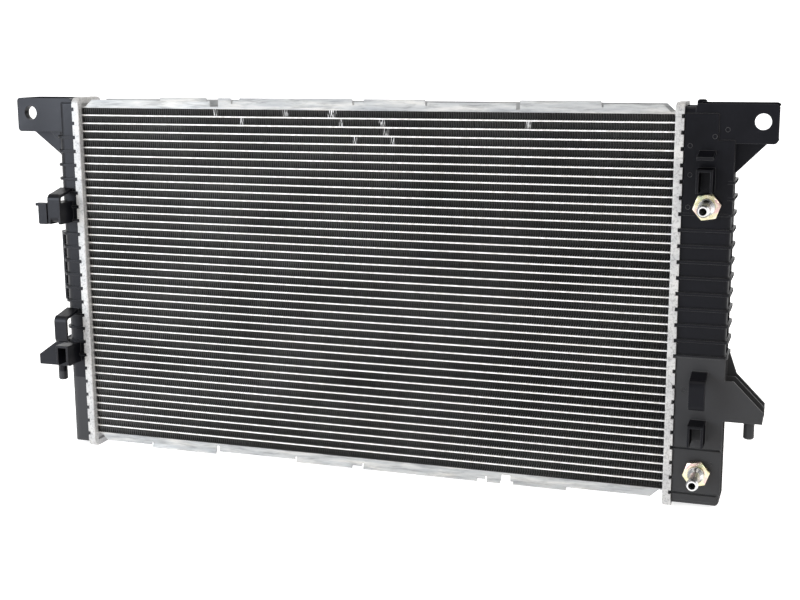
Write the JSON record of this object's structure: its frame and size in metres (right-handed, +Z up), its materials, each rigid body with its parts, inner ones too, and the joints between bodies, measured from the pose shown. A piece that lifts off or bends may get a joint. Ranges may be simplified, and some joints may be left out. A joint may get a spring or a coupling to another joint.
{
  "type": "car radiator",
  "caption": "Cross-flow car radiator: brazed aluminium core of flat tubes and folded fins, crimped black plastic tanks with ears, clips and pins, and an in-tank oil cooler.",
  "frame": {"origin": "under the middle of the radiator, at the level of the lower ends of the two headers, on which it stands", "axes": "+X to the outlet tank, +Y to the engine side with the hose necks, +Z up; the oil-cooler hose barbs face -Y"},
  "size_m": [1.0176, 0.164, 0.496],
  "materials": {
    "tube_aluminium": "satin drawn aluminium with flux haze",
    "fin_aluminium": "thin rolled aluminium, dulled by brazing",
    "header_aluminium": "stamped aluminium, mottled by brazing",
    "plate_aluminium": "rolled aluminium sheet, satin",
    "tank_nylon": "satin black glass-filled nylon",
    "gasket_rubber": "moulded rubber",
    "cooler_aluminium": "brazed aluminium tube",
    "yellow_zinc": "yellow-passivated zinc on steel",
    "barb_aluminium": "machined aluminium",
    "drain_plastic": "moulded black nylon"
  },
  "bodies": {
    "radiator": {"coolant_tubes": "tube_aluminium", "fin_strips": "fin_aluminium", "top_side_plate": "plate_aluminium", "bottom_side_plate": "plate_aluminium", "left_header": "header_aluminium", "right_header": "header_aluminium", "left_gasket": "gasket_rubber", "right_gasket": "gasket_rubber", "inlet_tank": "tank_nylon", "outlet_tank": "tank_nylon", "oil_cooler_outer_tube": "cooler_aluminium", "oil_cooler_inner_tube": "cooler_aluminium", "oil_cooler_turbulator": "cooler_aluminium", "oil_cooler_upper_ring": "cooler_aluminium", "oil_cooler_lower_ring": "cooler_aluminium", "upper_oil_fitting": "cooler_aluminium", "upper_fitting_seal": "gasket_rubber", "upper_fitting_washer": "yellow_zinc", "upper_fitting_nut": "yellow_zinc", "upper_hose_barb": "barb_aluminium", "lower_oil_fitting": "cooler_aluminium", "lower_fitting_seal": "gasket_rubber", "lower_fitting_washer": "yellow_zinc", "lower_fitting_nut": "yellow_zinc", "lower_hose_barb": "barb_aluminium"},
    "drain": {"drain_cock": "drain_plastic", "drain_seal": "gasket_rubber"}
  },
  "joints": [
    {"name": "drain_turn", "type": "hinge", "parent": "radiator", "child": "drain", "pos_m": [0.41625, 0.04, 0.045], "axis": [0, 1, 0], "range_deg": [0, 90]}
  ]
}
